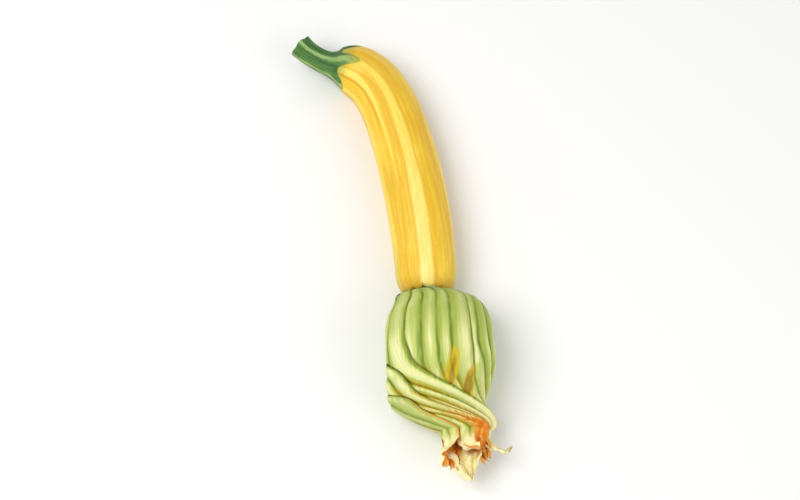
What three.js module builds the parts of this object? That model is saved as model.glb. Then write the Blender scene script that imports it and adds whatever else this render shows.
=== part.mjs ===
// A young yellow zucchini, picked with its flower still on. The curved, ribbed fruit lies on a level
// surface, with the stub of its five-angled stalk at one end and its closed, twisted flower at the other.
// Millimetres. +Z is up, -Y is the way the flower points and +X is the outer side of the fruit's bend.
// The origin is on the surface, under the middle of the whole part.

import * as THREE from "three";

const { degToRad, lerp, smoothstep } = THREE.MathUtils;

// ---- Driving dimensions ----

const JOINT_GAP = 0.3; // clearance between two pieces that meet
const RIB_COUNT = 5; // the plant's parts come in fives: ribs, sepals and petals

// Fruit
const FRUIT_LENGTH = 162; // along its curved middle
const BELLY_RADIUS = 18;
const BELLY_AT = 0.58; // share of the length
const NECK_RADIUS = 14.6; // by the stalk
const FAR_RADIUS = 17.3; // by the flower
const SHOULDER_LENGTH = 13; // over which each end rounds in
const END_SHARE = 0.72; // an end's radius, as a share of the radius where its shoulder starts
const REST_DEPTH = 0.5; // how much of the round underside is flattened by lying on it
const RIB_HEIGHT_AT_STALK = 0.045; // shares of the radius
const RIB_HEIGHT_ALONG = 0.014;
const RIBS_LOW_BY = 0.35; // share of the length
const STRONG_RIB_SHARE = 0.6; // of the rib height: the rest is in the weak ribs between

// Plan of the fruit: a hook near the stalk, then a slow turn. Angles are in degrees, headings from +X.
const FLOWER_END_HEADING = -88;
const SLOW_TURN = 22; // over the whole length
const HOOK_TURN = 72;
const HOOK_AT = 0.08; // share of the length
const HOOK_SPREAD = 0.07;

// Stalk
const STALK_LENGTH = 26;
const STALK_RADIUS = 6.1;
const STALK_FOOT_RADIUS = 10.2;
const STALK_FOOT_LENGTH = 4.5;
const STALK_CUT_FLARE = 0.9;
const STALK_TURN = -30; // degrees over its length
const STALK_RISE = 4;
const STALK_RIB_HEIGHT = 0.13; // share of the radius

// Flower: the bag of its five petals, up to the throat where they twist shut
const BAG_LENGTH = 80;
const BAG_RADIUS = 30;
const BAG_WIDEST_AT = 0.5; // share of the bag's length
const BAG_BASE_RADIUS = 11.8;
const THROAT_RADIUS = 13.5; // to each side
const THROAT_FLATNESS = 0.67; // its height, as a share of its width
const BASE_SQUARENESS = 3; // how long the bag stays wide towards its base
const BASE_FULLNESS = 0.4; // and how steeply it starts there: smaller is steeper
const THROAT_SQUARENESS = 2.3; // the same towards the throat
const THROAT_FULLNESS = 0.66;
const BAG_CENTRE_HEIGHT = 26.5; // of the bag's middle, where it is widest
const THROAT_HEIGHT = 18;
const BAG_SHIFT = 5.5; // how far the bag's middle lies to the side of the fruit's axis
const BAG_SHIFT_BACK = 0.5; // share of that shift that it loses before the throat
const THROAT_SHIFT = 15.5; // how much further to the side the throat lies
const PETAL_THICKNESS = 0.8;
const PETAL_TWIST = -105; // degrees, from the base to the throat
const FIRST_PETAL_ANGLE = -90; // its middle line at the base, from the side towards +Z
const MARGIN_GAP = 0.4; // between the margins of two petals

// Petal tips past the throat: how far each reaches, leans out and turns down, going round from the first
const TIP_LENGTHS = [18, 29, 20, 12, 10];
const TIP_LEANS = [5, -2, 4, 15, 4];
const TIP_DROPS = [3, 8, 7, 5, 0];
const TIP_END_SHARE = 0.3; // a tip's width at its end, as a share of its width at the throat
const TIP_SPREAD = 0.5; // how much wider it is on the way
const LEAN_POWER = 1.5; // a tip leans out little by little

// Sepals
const SEPAL_REACH = 5; // along the axis, while it follows the bag's steep shoulder
const SEPAL_WIDTH = 3.6;
const SEPAL_THICKNESS = 0.9;
const SEPAL_END_WIDTH = 0.2; // shares of its width and thickness where it starts
const SEPAL_END_THICKNESS = 0.6;
const SEPAL_CLEARANCE = 0.6; // from the petals
const SEPAL_START = 0.5; // past the petals' base
const SEPAL_TAPER_POWER = 1.5; // it tapers, and leaves the steep shoulder, little by little
const SEPAL_ROOM = 1.9; // between the surface and the bag's underside, where the sepals are

// Pistil, on the flower's axis
const PISTIL_LENGTH = 27;
const NECTARY_RADIUS = 7.2;
const STYLE_RADIUS = 3.1;
const STIGMA_RADIUS = 6.4;
const STIGMA_LOBES = 3;

// ---- Solids from rings and grids of points ----

// rows[i][j] runs along i and round, or across, j. Triangles face out where j turns by the right hand
// about i.
function addQuads(index, rows, at, wraps, flipped) {
  const count = rows[0].length;
  for (let i = 0; i + 1 < rows.length; i++) {
    for (let j = 0; j + (wraps ? 0 : 1) < count; j++) {
      const k = (j + 1) % count;
      const [a, b, c, d] = [at(i, j), at(i, k), at(i + 1, j), at(i + 1, k)];
      if (flipped) index.push(a, c, b, b, c, d);
      else index.push(a, b, c, b, d, c);
    }
  }
}

function geometryOf(points, index) {
  const made = new THREE.BufferGeometry().setFromPoints(points);
  made.setIndex(index);
  made.computeVertexNormals();
  return made;
}

// A closed solid through rings, with a flat cap at each end.
function solidThrough(rings) {
  const count = rings[0].length;
  const at = (i, j) => i * count + j;
  const index = [];
  addQuads(index, rings, at, true, false);
  const last = rings.length - 1;
  const middleOf = (ring) =>
    ring.reduce((sum, p) => sum.add(p), new THREE.Vector3()).divideScalar(count);
  const points = [...rings.flat(), middleOf(rings[0]), middleOf(rings[last])];
  const [startMiddle, endMiddle] = [points.length - 2, points.length - 1];
  for (let j = 0; j < count; j++) {
    const k = (j + 1) % count;
    index.push(startMiddle, at(0, k), at(0, j));
    index.push(endMiddle, at(last, j), at(last, k));
  }
  return geometryOf(points, index);
}

// A closed sheet with thickness: two grids of points, joined along their four edges.
function solidBetween(outer, inner) {
  const [rows, count] = [outer.length, outer[0].length];
  const outerAt = (i, j) => i * count + j;
  const innerAt = (i, j) => rows * count + i * count + j;
  const index = [];
  addQuads(index, outer, outerAt, false, false);
  addQuads(index, inner, innerAt, false, true);
  const last = rows - 1;
  for (let j = 0; j + 1 < count; j++) {
    const k = j + 1;
    index.push(outerAt(0, j), innerAt(0, j), innerAt(0, k), outerAt(0, j), innerAt(0, k), outerAt(0, k));
    index.push(outerAt(last, j), innerAt(last, k), innerAt(last, j));
    index.push(outerAt(last, j), outerAt(last, k), innerAt(last, k));
  }
  const edge = count - 1;
  for (let i = 0; i < last; i++) {
    const k = i + 1;
    index.push(outerAt(i, 0), outerAt(k, 0), innerAt(k, 0), outerAt(i, 0), innerAt(k, 0), innerAt(i, 0));
    index.push(outerAt(i, edge), innerAt(k, edge), outerAt(k, edge));
    index.push(outerAt(i, edge), innerAt(i, edge), innerAt(k, edge));
  }
  return geometryOf([...outer.flat(), ...inner.flat()], index);
}

const mesh = (name, geometry, material) =>
  Object.assign(new THREE.Mesh(geometry, material), { name });

const spaced = (count, from = 0, to = 1) =>
  Array.from({ length: count + 1 }, (_, i) => lerp(from, to, i / count));

// ---- Spines: level curves that a section is carried along ----

const SPINE_STEPS = 600;

// at(t) gives the point, and the section's side and up directions, at a share t of the length. The side
// is to the left of the way the spine runs, so an angle from side to up turns by the right hand about it.
function spine(length, headingAt, heightAt) {
  const places = [new THREE.Vector2()];
  const step = 1 / SPINE_STEPS;
  for (let i = 0; i < SPINE_STEPS; i++) {
    const heading = degToRad(headingAt((i + 0.5) * step));
    const move = new THREE.Vector2(Math.cos(heading), Math.sin(heading)).multiplyScalar(length * step);
    places.push(places[i].clone().add(move));
  }
  return (t) => {
    const place = t / step;
    const i = Math.min(Math.floor(place), SPINE_STEPS - 1);
    const level = places[i].clone().lerp(places[i + 1], place - i);
    const heading = degToRad(headingAt(t));
    return {
      point: new THREE.Vector3(level.x, level.y, heightAt(t)),
      side: new THREE.Vector3(-Math.sin(heading), Math.cos(heading), 0),
      up: new THREE.Vector3(0, 0, 1),
      heading,
    };
  };
}

const pointAt = ({ point, side, up }, radius, angle) =>
  point
    .clone()
    .addScaledVector(side, radius * Math.cos(angle))
    .addScaledVector(up, radius * Math.sin(angle));

const ringAt = (frame, radiusAt, count) =>
  spaced(count, 0, 2 * Math.PI)
    .slice(0, count)
    .map((angle) => pointAt(frame, radiusAt(angle), angle));

// ---- Fruit ----

// The slow swell from neck to belly to flower end, without the rounded shoulders.
function bodyRadius(t) {
  const [endRadius, away] =
    t < BELLY_AT ? [NECK_RADIUS, 1 - t / BELLY_AT] : [FAR_RADIUS, (t - BELLY_AT) / (1 - BELLY_AT)];
  return lerp(BELLY_RADIUS, endRadius, away ** 2);
}

// An ellipse's quarter at each end, cut off where it is END_SHARE of the body's radius.
function shoulder(t) {
  const fromEnd = Math.min(t, 1 - t) * FRUIT_LENGTH;
  const away = Math.max(0, 1 - fromEnd / SHOULDER_LENGTH);
  return Math.sqrt(1 - (1 - END_SHARE ** 2) * away ** 2);
}

// Five strong ribs with five weak ones between them, one strong rib on top.
function ribs(angle) {
  const turned = angle - Math.PI / 2;
  return lerp(Math.cos(2 * RIB_COUNT * turned), Math.cos(RIB_COUNT * turned), STRONG_RIB_SHARE);
}

const fruitHeading = (t) =>
  FLOWER_END_HEADING + SLOW_TURN * (1 - t) + HOOK_TURN / (1 + Math.exp((t - HOOK_AT) / HOOK_SPREAD));
const fruitSpine = spine(FRUIT_LENGTH, fruitHeading, (t) => bodyRadius(t) - REST_DEPTH);

function fruitGeometry() {
  const RING_POINTS = 8 * RIB_COUNT;
  const SHOULDER_RINGS = 5; // at each end
  const BODY_RINGS = 30; // between them
  const shoulderShare = SHOULDER_LENGTH / FRUIT_LENGTH;
  const stations = [
    ...spaced(SHOULDER_RINGS, 0, shoulderShare),
    ...spaced(BODY_RINGS, shoulderShare, 1 - shoulderShare).slice(1, -1),
    ...spaced(SHOULDER_RINGS, 1 - shoulderShare, 1),
  ];
  const rings = stations.map((t) => {
    const radius = bodyRadius(t) * shoulder(t);
    const height = lerp(RIB_HEIGHT_AT_STALK, RIB_HEIGHT_ALONG, smoothstep(t, 0, RIBS_LOW_BY));
    const ring = ringAt(fruitSpine(t), (angle) => radius * (1 + height * ribs(angle)), RING_POINTS);
    ring.forEach((p) => p.setZ(Math.max(p.z, 0))); // the flattened underside it rests on
    return ring;
  });
  return solidThrough(rings);
}

// ---- Stalk: its origin is under the fruit's near end, with +X leading away from the fruit ----

function stalkGeometry() {
  const RING_POINTS = 4 * RIB_COUNT;
  const RINGS = 12;
  const startHeight = bodyRadius(0) - REST_DEPTH;
  const along = spine(
    STALK_LENGTH,
    (t) => STALK_TURN * t,
    (t) => startHeight + STALK_RISE * t ** 2,
  );
  const rings = spaced(RINGS).map((t) => {
    const foot = (STALK_FOOT_RADIUS - STALK_RADIUS) * Math.exp((-t * STALK_LENGTH) / STALK_FOOT_LENGTH);
    const radius = STALK_RADIUS + foot + STALK_CUT_FLARE * t ** 3;
    return ringAt(along(t), (angle) => radius * (1 + STALK_RIB_HEIGHT * ribs(angle)), RING_POINTS);
  });
  return solidThrough(rings);
}

// ---- Flower: its origin is under the fruit's far end, with +X leading away from the fruit ----

// How far the bag's middle lies to the side of the fruit's axis.
function bagShift(t) {
  const SHIFTED_BY = 0.12; // shares of the bag's length
  const SHIFTS_BACK = [0.5, 0.85];
  const SHIFTS_TO_THROAT = [0.79, 1.04];
  const start = 1 - (1 - Math.min(t / SHIFTED_BY, 1)) ** 2;
  const kept = 1 - BAG_SHIFT_BACK * smoothstep(t, ...SHIFTS_BACK);
  return BAG_SHIFT * start * kept + THROAT_SHIFT * smoothstep(t, ...SHIFTS_TO_THROAT);
}

function bagHeight(t) {
  const RISEN_BY = 0.45;
  const FALLS = [0.5, 1.1];
  const rise = Math.sin((Math.PI / 2) * Math.min(t / RISEN_BY, 1));
  const risen = lerp(bodyRadius(1) - REST_DEPTH, BAG_CENTRE_HEIGHT, rise);
  return risen + (THROAT_HEIGHT - BAG_CENTRE_HEIGHT) * smoothstep(t, ...FALLS);
}

// The section at a share t of the bag's length. All sections stand square to the fruit's axis.
const bagFrame = (t, shift = bagShift(t)) => ({
  point: new THREE.Vector3(JOINT_GAP + t * BAG_LENGTH, shift, bagHeight(t)),
  side: new THREE.Vector3(0, 1, 0),
  up: new THREE.Vector3(0, 0, 1),
});

// The bag's outline: a steep rounded shoulder by the fruit, and a rounder fall to the throat.
function bagRadius(t) {
  const [endRadius, away, squareness, fullness] =
    t < BAG_WIDEST_AT
      ? [BAG_BASE_RADIUS, 1 - t / BAG_WIDEST_AT, BASE_SQUARENESS, BASE_FULLNESS]
      : [THROAT_RADIUS, (t - BAG_WIDEST_AT) / (1 - BAG_WIDEST_AT), THROAT_SQUARENESS, THROAT_FULLNESS];
  return lerp(endRadius, BAG_RADIUS, (1 - Math.min(away, 1) ** squareness) ** fullness);
}

const FLATTENS = [0.7, 1];
const bagFlatness = (t) => lerp(1, THROAT_FLATNESS, smoothstep(t, ...FLATTENS));

const TWISTS = [0.3, 1.05];
const twistAt = (t) => degToRad(PETAL_TWIST) * smoothstep(t, ...TWISTS);

const SEPAL_ROOM_ENDS = [0.15, 0.35];
const roomUnder = (t) => SEPAL_ROOM * (1 - smoothstep(t, ...SEPAL_ROOM_ENDS));

// A point depth inside the bag's outer skin. The bag's underside is flattened by lying on the surface.
function bagPoint(t, angle, depth) {
  const { point, side, up } = bagFrame(t);
  const radius = bagRadius(t);
  const turned = angle + twistAt(t);
  const p = point
    .addScaledVector(side, (radius - depth) * Math.cos(turned))
    .addScaledVector(up, (radius * bagFlatness(t) - depth) * Math.sin(turned));
  return p.setZ(Math.max(p.z, depth + roomUnder(t)));
}

const FULL_TURN = 2 * Math.PI;
const petalAngle = (k) => degToRad(FIRST_PETAL_ANGLE) + (k * FULL_TURN) / RIB_COUNT;

// Each petal is its fifth of the bag, and past the throat a tip that leans out along its own direction.
function petalGeometry(k) {
  const ACROSS = 8;
  const ALONG_BAG = 20;
  const ALONG_TIP = 5;
  const ROW_CROWDING = 0.1;
  const surface = (depth) => {
    const rowAt = (t, share, tip) => {
      const radius = bagRadius(Math.min(t, 1));
      const half = (FULL_TURN / RIB_COUNT / 2 - MARGIN_GAP / 2 / radius) * share;
      return spaced(ACROSS, -half, half).map((offset) => {
        const p = bagPoint(t, petalAngle(k) + offset, depth);
        if (tip > 0) {
          const frame = bagFrame(t);
          const outward = pointAt(frame, 1, petalAngle(k) + twistAt(t)).sub(frame.point);
          p.addScaledVector(outward, TIP_LEANS[k] * tip ** LEAN_POWER);
          p.z = Math.max(p.z - TIP_DROPS[k] * tip ** 2, depth);
        }
        return p;
      });
    };
    // Rows lie closer together towards both ends, where the outline is steep.
    const bag = spaced(ALONG_BAG).map((u) => rowAt(u - ROW_CROWDING * Math.sin(FULL_TURN * u), 1, 0));
    const tips = spaced(ALONG_TIP)
      .slice(1)
      .map((tip) => {
        const share = lerp(1, TIP_END_SHARE, tip ** 2) * (1 + TIP_SPREAD * Math.sin(Math.PI * tip ** 2));
        return rowAt(1 + (tip * TIP_LENGTHS[k]) / BAG_LENGTH, share, tip);
      });
    return [...bag, ...tips];
  };
  return solidBetween(surface(0), surface(PETAL_THICKNESS));
}

// Narrow pointed sepals lie on the bag's base, each over the meeting of two petals.
function sepalGeometry(k) {
  const ACROSS = 2;
  const ALONG = 6;
  const middle = petalAngle(k + 0.5);
  const surface = (raisedAt) =>
    spaced(ALONG).map((share) => {
      const gone = share ** SEPAL_TAPER_POWER;
      const t = (SEPAL_START + gone * SEPAL_REACH) / BAG_LENGTH;
      const half = (SEPAL_WIDTH / 2) * lerp(1, SEPAL_END_WIDTH, gone);
      return spaced(ACROSS, -1, 1).map((across) => {
        return bagPoint(t, middle + (across * half) / bagRadius(t), -raisedAt(share));
      });
    });
  const top = (share) => SEPAL_CLEARANCE + SEPAL_THICKNESS * lerp(1, SEPAL_END_THICKNESS, share);
  return solidBetween(surface(top), surface(() => SEPAL_CLEARANCE));
}

// The ring of the nectary, the style and its three-lobed stigma, standing on the fruit's far end.
function pistilGeometry() {
  const RING_POINTS = 6 * STIGMA_LOBES;
  const RINGS = 16;
  const LOBE_DEPTH = 0.22; // share of the radius
  const LOBED_FROM = 0.45; // shares of the length
  const LOBED_BY = 0.7;
  const outline = [
    [0, NECTARY_RADIUS],
    [0.1, NECTARY_RADIUS],
    [0.2, STYLE_RADIUS * 1.2],
    [0.45, STYLE_RADIUS],
    [0.62, STIGMA_RADIUS * 0.8],
    [0.8, STIGMA_RADIUS],
    [0.95, STIGMA_RADIUS * 0.8],
    [1, STIGMA_RADIUS * 0.4],
  ];
  const profile = new THREE.CatmullRomCurve3(
    outline.map(([share, radius]) => new THREE.Vector3(share, radius, 0)),
  );
  const rings = profile.getSpacedPoints(RINGS).map(({ x: share, y: radius }) => {
    const lobing = LOBE_DEPTH * smoothstep(share, LOBED_FROM, LOBED_BY);
    const frame = bagFrame((share * PISTIL_LENGTH) / BAG_LENGTH, 0);
    return ringAt(frame, (angle) => radius * (1 + lobing * Math.cos(STIGMA_LOBES * angle)), RING_POINTS);
  });
  return solidThrough(rings);
}

// ---- Materials ----

const finish = (color, roughness) => new THREE.MeshStandardMaterial({ color, roughness, metalness: 0 });
const fruitSkin = finish("#e8b52a", 0.38);
const stalkSkin = finish("#5f8a35", 0.6);
const petalSkin = finish("#ccd48c", 0.55);
const sepalSkin = finish("#6f9a56", 0.6);
const pistilFlesh = finish("#e09a28", 0.5);

// ---- Assembly ----

const part = new THREE.Group();
part.name = "yellow_zucchini";
const plant = new THREE.Group();
part.add(plant);

plant.add(mesh("fruit", fruitGeometry(), fruitSkin));

const stalkEnd = fruitSpine(0);
const stalk = new THREE.Group();
stalk.rotation.z = stalkEnd.heading + Math.PI;
stalk.position.set(-JOINT_GAP, 0, 0).applyAxisAngle(stalkEnd.up, stalkEnd.heading);
stalk.add(mesh("stalk", stalkGeometry(), stalkSkin));
plant.add(stalk);

const flowerEnd = fruitSpine(1);
const flower = new THREE.Group();
flower.rotation.z = flowerEnd.heading;
flower.position.set(flowerEnd.point.x, flowerEnd.point.y, 0);
for (let k = 0; k < RIB_COUNT; k++) {
  flower.add(mesh(`petal_${k + 1}`, petalGeometry(k), petalSkin));
  flower.add(mesh(`sepal_${k + 1}`, sepalGeometry(k), sepalSkin));
}
flower.add(mesh("pistil", pistilGeometry(), pistilFlesh));
plant.add(flower);

// The origin goes under the middle of the whole part.
const middle = new THREE.Box3().setFromObject(plant, true).getCenter(new THREE.Vector3());
plant.position.set(-middle.x, -middle.y, 0);

export default part;
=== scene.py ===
"""Looks of a picked young yellow zucchini with its flower still on, lying on a pale floor.

Shapes are worked out in millimetres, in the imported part's frame: +Z up, -Y the way the flower points.
"""

import math

import bpy
import numpy as np
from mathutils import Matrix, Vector, noise


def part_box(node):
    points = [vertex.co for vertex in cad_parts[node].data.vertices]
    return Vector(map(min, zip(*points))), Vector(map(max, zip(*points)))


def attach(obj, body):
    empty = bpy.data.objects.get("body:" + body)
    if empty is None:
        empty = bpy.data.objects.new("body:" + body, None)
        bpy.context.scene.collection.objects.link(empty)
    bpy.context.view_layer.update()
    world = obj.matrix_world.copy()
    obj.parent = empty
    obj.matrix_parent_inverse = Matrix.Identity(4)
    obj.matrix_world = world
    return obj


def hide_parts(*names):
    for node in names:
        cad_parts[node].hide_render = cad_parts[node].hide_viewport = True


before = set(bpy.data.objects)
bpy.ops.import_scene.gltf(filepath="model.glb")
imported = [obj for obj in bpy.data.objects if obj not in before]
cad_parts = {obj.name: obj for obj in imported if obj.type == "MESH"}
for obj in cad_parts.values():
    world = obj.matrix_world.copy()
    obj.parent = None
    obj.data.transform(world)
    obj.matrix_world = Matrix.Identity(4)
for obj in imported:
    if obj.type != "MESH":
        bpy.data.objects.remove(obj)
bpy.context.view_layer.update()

MM = 0.001
FULL_TURN = 2 * math.pi
QUARTER_TURN = math.pi / 2
UP = np.array([0.0, 0.0, 1.0])

# ---- Driving dimensions, in mm and degrees: the same as the construction's ----

JOINT_GAP = 0.3
FIVE = 5  # the plant's parts come in fives: ribs, sepals and petals
RIB_SHARE, FINE_RIB_SHARE = 0.6, 0.4  # of the five ribs, and of the ten finer ones among them
RIBS_SETTLE_AT = 0.35  # share of the fruit's length past which its ribs are low

FRUIT_LENGTH = 162
BELLY_RADIUS, BELLY_AT = 18, 0.58
NECK_RADIUS, FAR_RADIUS = 14.6, 17.3
SHOULDER_LENGTH, END_SHARE = 13, 0.72
REST_DEPTH = 0.5
RIB_HEIGHT_AT_STALK, RIB_HEIGHT_ALONG = 0.045, 0.014
FLOWER_END_HEADING, SLOW_TURN = -88, 22
HOOK_TURN, HOOK_AT, HOOK_SPREAD = 72, 0.08, 0.07

STALK_LENGTH, STALK_RADIUS = 26, 6.1
STALK_FOOT_LENGTH = 4.5
STALK_CUT_FLARE, STALK_RIB_HEIGHT = 0.9, 0.13
STALK_TURN, STALK_RISE = -30, 4

BAG_LENGTH, BAG_RADIUS, BAG_WIDEST_AT = 80, 30, 0.5
BAG_BASE_RADIUS, THROAT_RADIUS, THROAT_FLATNESS = 11.8, 13.5, 0.67
BASE_SQUARENESS, BASE_FULLNESS = 3, 0.4
THROAT_SQUARENESS, THROAT_FULLNESS = 2.3, 0.66
BAG_CENTRE_HEIGHT, THROAT_HEIGHT = 26.5, 18
BAG_SHIFT, BAG_SHIFT_BACK, THROAT_SHIFT = 5.5, 0.5, 15.5

# Shares of the bag's length between which it shifts, rises, falls, flattens and clears the sepals.
SHIFT_START, SHIFTS_BACK, SHIFTS_TO_THROAT = 0.12, (0.5, 0.85), (0.79, 1.04)
RISE_END, FALLS, FLATTENS, SEPAL_ROOM_ENDS = 0.45, (0.5, 1.1), (0.7, 1), (0.15, 0.35)

SEPAL_REACH, SEPAL_WIDTH = 5, 3.6
SEPAL_START, SEPAL_ROOM = 0.5, 1.9

PISTIL_LENGTH, STIGMA_LOBES = 27, 3
NECTARY_RADIUS, STYLE_RADIUS, STIGMA_RADIUS = 7.2, 3.1, 6.4


# ---- Small maths ----


def lerp(a, b, t):
    return a + (b - a) * t


def smooth(t, low, high):
    """0 below low, 1 above high, with a soft start and end between them."""
    t = np.clip((t - low) / (high - low), 0, 1)
    return t * t * (3 - 2 * t)


def bell(t, middle, width):
    return np.exp(-(((t - middle) / width) ** 2))


def through(knots, values):
    """A smooth curve through a few points, as a function of t."""
    knots, values = np.array(knots, float), np.array(values, float)
    slopes = np.gradient(values, knots)

    def at(t):
        i = np.clip(np.searchsorted(knots, t, "right") - 1, 0, len(knots) - 2)
        span = knots[i + 1] - knots[i]
        u = np.clip((t - knots[i]) / span, 0, 1)
        rising = values[i] + (values[i + 1] - values[i]) * u * u * (3 - 2 * u)
        return rising + span * u * (1 - u) * (slopes[i] * (1 - u) - slopes[i + 1] * u)

    return at


def turned(vector, axis, angle):
    """The vector turned about the unit axis by each of the angles, in radians."""
    angle = np.asarray(angle)[..., None]
    along = axis * (vector * axis).sum(-1, keepdims=True)
    return along + (vector - along) * np.cos(angle) + np.cross(axis, vector) * np.sin(angle)


def lumps(points, size, octaves=2, seed=0.0):
    """Smooth noise between about -1 and 1 at each of the points, with lumps of the given size."""
    flat = points.reshape(-1, 3) / size + seed
    values = [noise.fractal(Vector(p), 1.0, 2.0, octaves) for p in flat.tolist()]
    return np.array(values).reshape(points.shape[:-1])


# ---- Spines: level curves that a section is carried along ----

SPINE_STEPS = 1200


def spine(length, heading_at, height_at):
    """Returns at(t), which gives points, sides and forward directions at shares t of the length.

    The side is to the left of the way the spine runs.
    """
    edges = np.linspace(0, 1, SPINE_STEPS + 1)
    headings = np.radians(heading_at((edges[:-1] + edges[1:]) / 2))
    moves = np.stack([np.cos(headings), np.sin(headings)], 1) * length / SPINE_STEPS
    places = np.vstack([np.zeros(2), np.cumsum(moves, 0)])

    def at(t):
        t = np.asarray(t, float)
        heading = np.radians(heading_at(t))
        x, y = (np.interp(t, edges, places[:, axis]) for axis in (0, 1))
        points = np.stack([x, y, height_at(t)], -1)
        sides = np.stack([-np.sin(heading), np.cos(heading), 0 * heading], -1)
        forwards = np.stack([np.cos(heading), np.sin(heading), 0 * heading], -1)
        return points, sides, forwards

    return at


def round_spine(at, t, radius, angle):
    """Points at angles from side to up about the spine. t, radius and angle are grids of one shape."""
    points, sides, _ = at(t)
    across, rise = radius * np.cos(angle), radius * np.sin(angle)
    return points + across[..., None] * sides + rise[..., None] * UP


def placed(points, heading, origin):
    """Turns points by a heading in radians about +Z, then moves them."""
    cos, sin = math.cos(heading), math.sin(heading)
    turn = np.array([[cos, -sin, 0], [sin, cos, 0], [0, 0, 1]])
    return points @ turn.T + origin


# ---- Meshes: every piece is a closed skin through loops ----


def skin_mesh(name, loops, values):
    """A closed mesh through loops[i][j], in mm, with named values at its points.

    Each end is closed straight across its loop. A map named OFBake follows rows and loops.
    """
    rows, count = loops.shape[:2]
    i, j = np.meshgrid(np.arange(rows - 1), np.arange(count), indexing="ij")
    k = (j + 1) % count
    here, below = i * count, (i + 1) * count
    sides = np.stack([here + j, here + k, below + k, below + j], -1).reshape(-1, 4)
    low, high = i / (rows - 1), (i + 1) / (rows - 1)
    left, right = j / count, (j + 1) / count
    corners = ((left, low), (right, low), (right, high), (left, high))
    side_map = np.stack([np.stack(corner, -1) for corner in corners], -2).reshape(-1, 4, 2)
    half = count // 2
    a = np.arange(half - 1)
    b = count - 1 - a
    start = np.stack([b, b - 1, a + 1, a], -1)
    end = start[:, ::-1] + (rows - 1) * count
    # In the map, the start's closing face lies under the sides and the end's lies over them.
    cap_map = np.stack([a / count, (a + 1) / count, (a + 1) / count, a / count], -1)
    START_BAND, SIDE_BAND, END_BAND = (0.0, 0.02), (0.03, 0.97), (0.98, 1.0)
    faces = np.vstack([sides, start, end])
    side_map[..., 1] = lerp(*SIDE_BAND, side_map[..., 1])
    start_map = np.stack([cap_map, np.tile(np.repeat(START_BAND, 2), (half - 1, 1))], -1)
    end_map = np.stack([cap_map, np.tile(np.repeat(END_BAND[::-1], 2), (half - 1, 1))], -1)
    mesh = bpy.data.meshes.new(name)
    mesh.from_pydata((loops.reshape(-1, 3) * MM).tolist(), [], faces.tolist())
    layer = mesh.uv_layers.new(name="OFBake")
    layer.data.foreach_set("uv", np.vstack([side_map, start_map, end_map]).astype(np.float32).ravel())
    for key, value in values.items():
        kind, field = ("FLOAT_VECTOR", "vector") if value.ndim == 3 else ("FLOAT", "value")
        attribute = mesh.attributes.new(key, kind, "POINT")
        attribute.data.foreach_set(field, value.astype(np.float32).ravel())
    mesh.polygons.foreach_set("use_smooth", np.ones(len(faces), bool))
    mesh.update()
    piece = bpy.data.objects.new(name, mesh)
    bpy.context.scene.collection.objects.link(piece)
    return piece


def grid_normals(points):
    """Unit normals of a grid of points, facing out where columns turn right-handed about rows."""
    down, across = np.gradient(points, axis=0), np.gradient(points, axis=1)
    normals = np.cross(across, down)
    return normals / np.maximum(np.linalg.norm(normals, axis=-1, keepdims=True), 1e-9)


def sheet_loops(outer, thickness):
    """Loops round a sheet: across its outer face, then back across its inner face."""
    inner = outer - grid_normals(outer) * thickness
    return np.concatenate([outer, inner[:, ::-1]], 1), inner


def both_faces(outer_values, inner_values=None):
    inner_values = outer_values if inner_values is None else inner_values
    return np.concatenate([outer_values, inner_values[:, ::-1]], 1)


# ---- Fruit ----


def body_radius(t):
    t = np.asarray(t, float)
    near = lerp(BELLY_RADIUS, NECK_RADIUS, (1 - t / BELLY_AT) ** 2)
    far = lerp(BELLY_RADIUS, FAR_RADIUS, ((t - BELLY_AT) / (1 - BELLY_AT)) ** 2)
    return np.where(t < BELLY_AT, near, far)


def shoulder(t):
    away = np.maximum(0, 1 - np.minimum(t, 1 - t) * FRUIT_LENGTH / SHOULDER_LENGTH)
    return np.sqrt(1 - (1 - END_SHARE**2) * away**2)


def ribs(angle):
    from_top = angle - QUARTER_TURN
    return RIB_SHARE * np.cos(FIVE * from_top) + FINE_RIB_SHARE * np.cos(2 * FIVE * from_top)


def fruit_heading(t):
    hook = HOOK_TURN / (1 + np.exp((t - HOOK_AT) / HOOK_SPREAD))
    return FLOWER_END_HEADING + SLOW_TURN * (1 - t) + hook


fruit_spine = spine(FRUIT_LENGTH, fruit_heading, lambda t: body_radius(t) - REST_DEPTH)


def fruit_skin(t, angle, raised=0.0):
    """The plain ribbed skin, as the construction has it, at grids of shares and angles."""
    rib_height = lerp(RIB_HEIGHT_AT_STALK, RIB_HEIGHT_ALONG, smooth(t, 0, RIBS_SETTLE_AT))
    radius = body_radius(t) * shoulder(t) * (1 + rib_height * ribs(angle)) + raised
    points = round_spine(fruit_spine, t, radius, angle)
    points[..., 2] = np.maximum(points[..., 2], 0)
    return points


def middle_of_fruit():
    t, angle = np.meshgrid(np.linspace(0, 1, 200), np.linspace(0, FULL_TURN, 120), indexing="ij")
    points = fruit_skin(t, angle).reshape(-1, 3)
    return (points.min(0) + points.max(0)) / 2


# The fruit's near end is at (0, 0) while it is worked out, and this moves it to where the part has it.
low, high = (np.array(corner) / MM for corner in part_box("fruit"))
TO_PART = ((low + high) / 2 - middle_of_fruit()) * [1, 1, 0]


# Notches in the scar round the flower end: angle and width in degrees, and depth as a share.
NOTCHES = (
    (101, 4, 1.0), (93, 2, 0.5), (55, 4, 0.55), (44, 3, 0.35), (126, 5, 0.6), (78, 3, 0.25),
    (20, 6, 0.5), (160, 5, 0.5), (200, 6, 0.6), (235, 5, 0.8), (275, 6, 0.4), (312, 5, 0.7), (345, 4, 0.5),
)


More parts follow.
